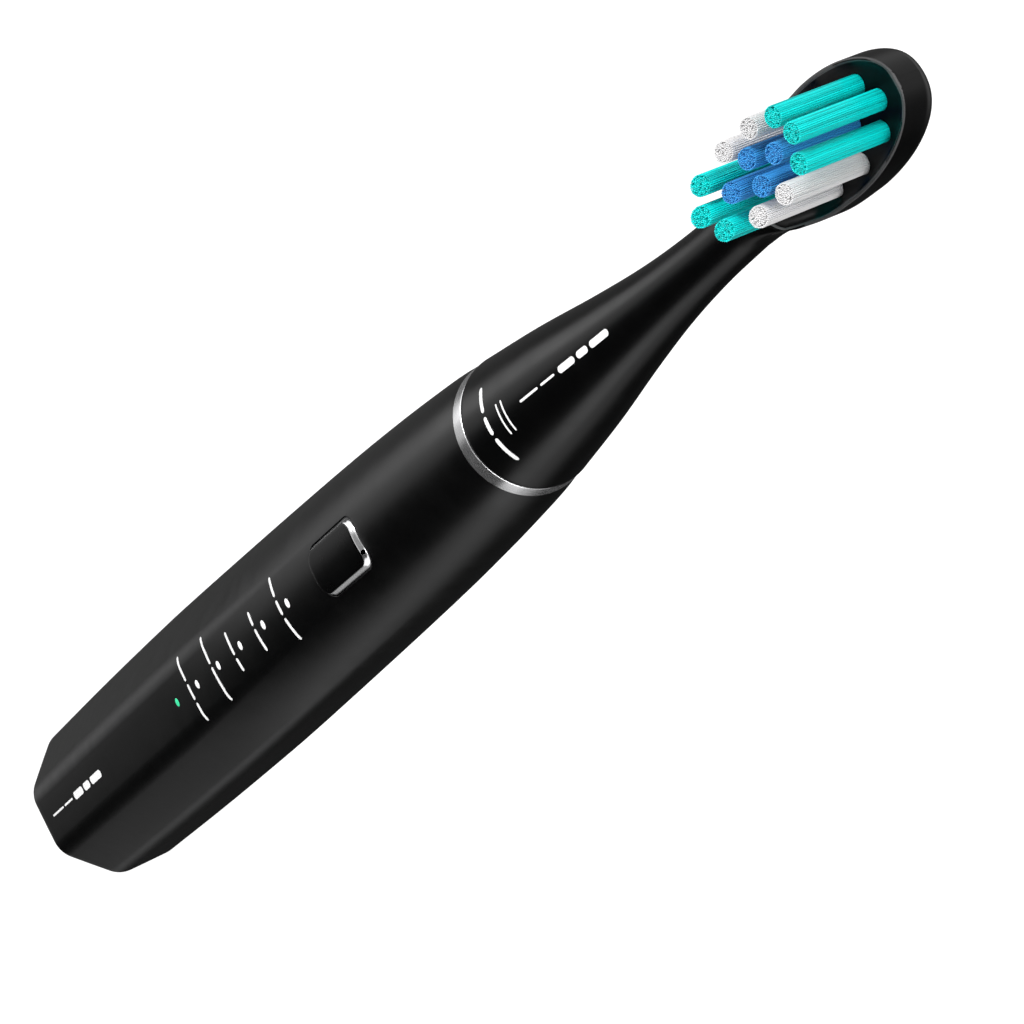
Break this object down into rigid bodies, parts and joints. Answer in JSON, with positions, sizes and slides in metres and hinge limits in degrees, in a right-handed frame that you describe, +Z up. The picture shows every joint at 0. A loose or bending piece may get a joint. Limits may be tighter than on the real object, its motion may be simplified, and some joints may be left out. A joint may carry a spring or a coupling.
{
  "type": "electric toothbrush",
  "caption": "Sonic electric toothbrush with an octagonal handle that turns round, push button, light row, and a pull-off brush head with coloured tufts.",
  "frame": {"origin": "centre of the base, at the level it stands on", "axes": "+Z up the handle to the tip of the brush head; -Y is the front, where the bristles, the button and the lights face; +X is to the right seen from the front"},
  "size_m": [0.0246, 0.0246, 0.2504],
  "materials": {
    "black_shell": "satin black soft-touch coating",
    "black_plastic": "satin black moulding",
    "black_head": "satin black moulding",
    "black_gloss": "glossy black",
    "pale_plastic": "natural white moulding",
    "black_rubber": "matt black",
    "grey_rubber": "matt grey silicone",
    "chrome": "satin chrome plating",
    "steel": "ground steel",
    "magnet": "nickel-plated magnet",
    "nickel": "nickel strip",
    "bronze": "sintered bronze",
    "copper_wire": "enamelled copper winding",
    "battery_wrap": "blue shrink sleeve",
    "board_green": "green solder mask",
    "led_chip": "pale light chip",
    "white_window": "milky clear light pipe",
    "green_window": "green-tinted light pipe",
    "red_wire": "red insulation",
    "yellow_wire": "yellow insulation",
    "teal_bristle": "teal nylon filaments",
    "blue_bristle": "blue nylon filaments",
    "white_bristle": "white nylon filaments"
  },
  "bodies": {
    "handle": {"handle_shell": "black_shell", "base_cap": "black_plastic", "base_seal": "black_rubber", "charging_coil": "copper_wire", "coil_lead": "yellow_wire", "inner_frame": "pale_plastic", "battery_cell": "battery_wrap", "battery_tab_lower": "nickel", "battery_tab_upper": "nickel", "main_board": "board_green", "tact_switch": "steel", "charge_led": "led_chip", "charge_window": "green_window", "motor_can": "steel", "motor_rear_cap": "pale_plastic", "motor_front_cap": "pale_plastic", "rear_bearing": "bronze", "front_bearing": "bronze", "stator_core": "steel", "stator_coil_left": "copper_wire", "stator_coil_right": "copper_wire", "shaft_housing": "black_plastic", "shaft_seal": "grey_rubber", "trim_ring": "chrome", "motor_lead": "red_wire", "mode_led_1": "led_chip", "mode_window_1": "white_window", "mode_led_2": "led_chip", "mode_window_2": "white_window", "mode_led_3": "led_chip", "mode_window_3": "white_window", "mode_led_4": "led_chip", "mode_window_4": "white_window", "mode_led_5": "led_chip", "mode_window_5": "white_window"},
    "button": {"button_body": "chrome", "button_inlay": "black_gloss", "button_seal": "grey_rubber"},
    "switch": {"switch_plunger": "black_gloss"},
    "shaft": {"drive_shaft": "steel", "rotor_magnet": "magnet"},
    "brush_head": {"head_shell": "black_head", "head_socket": "pale_plastic", "head_spring": "steel", "tuft_1": "teal_bristle", "tuft_2_left": "teal_bristle", "tuft_2_right": "teal_bristle", "tuft_3": "blue_bristle", "tuft_4_left": "white_bristle", "tuft_4_right": "white_bristle", "tuft_5_left": "blue_bristle", "tuft_5_right": "blue_bristle", "tuft_6_left": "white_bristle", "tuft_6_right": "white_bristle", "tuft_7": "blue_bristle", "tuft_8_left": "teal_bristle", "tuft_8_right": "teal_bristle", "tuft_9": "teal_bristle"}
  },
  "joints": [
    {"name": "button_press", "type": "slide", "parent": "handle", "child": "button", "axis": [0, 1, 0], "range_m": [0, 0.0003], "stiffness_N_per_m": 6000},
    {"name": "switch_plunger_press", "type": "slide", "parent": "handle", "child": "switch", "axis": [0, 1, 0], "range_m": [0, 0.0003]},
    {"name": "shaft_swing", "type": "hinge", "parent": "handle", "child": "shaft", "pos_m": [0, 0, 0.136], "axis": [0, 0, 1], "range_deg": [-4, 4], "stiffness_Nm_per_rad": 0.2},
    {"name": "head_pull_off", "type": "slide", "parent": "shaft", "child": "brush_head", "axis": [0, 0, 1], "range_m": [0, 0.022]}
  ],
  "couplings": [
    {"joint": "switch_plunger_press", "follows": "button_press", "ratio": 1}
  ]
}
